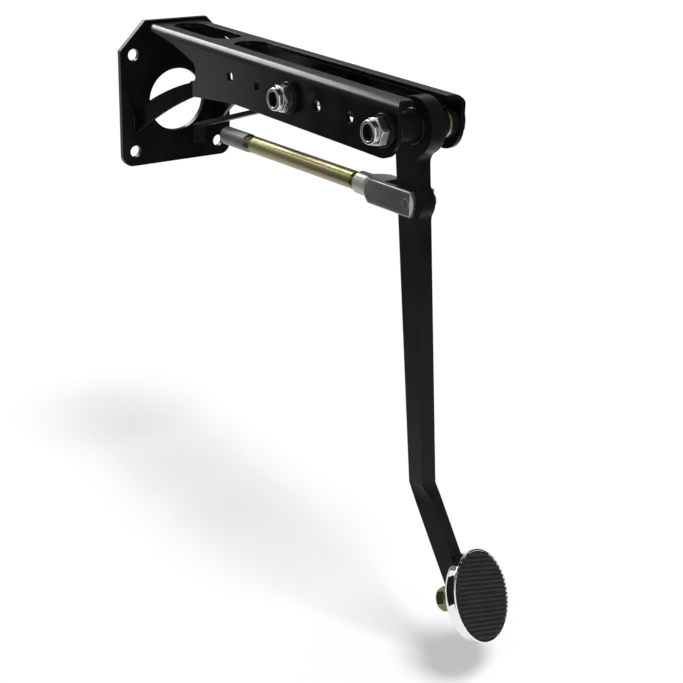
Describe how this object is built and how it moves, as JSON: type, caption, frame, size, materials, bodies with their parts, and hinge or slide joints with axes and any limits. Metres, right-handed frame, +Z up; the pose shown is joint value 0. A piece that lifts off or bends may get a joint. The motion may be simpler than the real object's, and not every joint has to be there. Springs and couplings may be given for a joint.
{
  "type": "brake pedal assembly",
  "caption": "Hanging brake pedal: a firewall plate, a folded channel that carries the pivot, a bent arm with a round ribbed pad, and a push rod with a clevis.",
  "frame": {"origin": "centre of the plate's four bolt holes, on the plate's firewall face", "axes": "+Y through the firewall, +Z up, X along the pivot bolt; the driver sits towards -Y"},
  "size_m": [0.1112, 0.4453, 0.4076],
  "materials": {
    "black_paint": "gloss",
    "zinc": "bright",
    "satin_zinc": "satin",
    "yellow_zinc": "satin",
    "bronze": "satin",
    "chrome": "polished",
    "rubber": "matte"
  },
  "bodies": {
    "bracket": {"mounting_plate": "black_paint", "channel": "black_paint", "brace_strap": "black_paint", "brace_bolt": "zinc", "brace_washer": "black_paint", "brace_nut": "zinc", "brace_sleeve": "zinc", "pivot_bolt": "zinc", "pivot_washer": "black_paint", "pivot_nut": "zinc", "pivot_sleeve": "zinc", "pivot_spacer": "black_paint"},
    "pedal": {"pedal_arm": "black_paint", "pivot_hub": "black_paint", "near_bushing": "bronze", "far_bushing": "bronze", "pad_cup": "chrome", "pad_rubber": "rubber", "pad_bolt": "yellow_zinc", "pad_washer": "yellow_zinc", "pad_nut": "zinc"},
    "pushrod": {"clevis": "satin_zinc", "push_rod": "yellow_zinc", "rod_end": "satin_zinc", "clevis_pin": "satin_zinc", "clevis_clip": "zinc"}
  },
  "joints": [
    {"name": "pedal_swing", "type": "hinge", "parent": "bracket", "child": "pedal", "pos_m": [0, -0.344, 0.048], "axis": [1, 0, 0], "range_deg": [0, 25]},
    {"name": "clevis_turn", "type": "hinge", "parent": "pedal", "child": "pushrod", "pos_m": [0, -0.346, -0.0074], "axis": [1, 0, 0], "range_deg": [-25, 0]}
  ],
  "couplings": [
    {"joint": "clevis_turn", "follows": "pedal_swing", "ratio": -1}
  ]
}
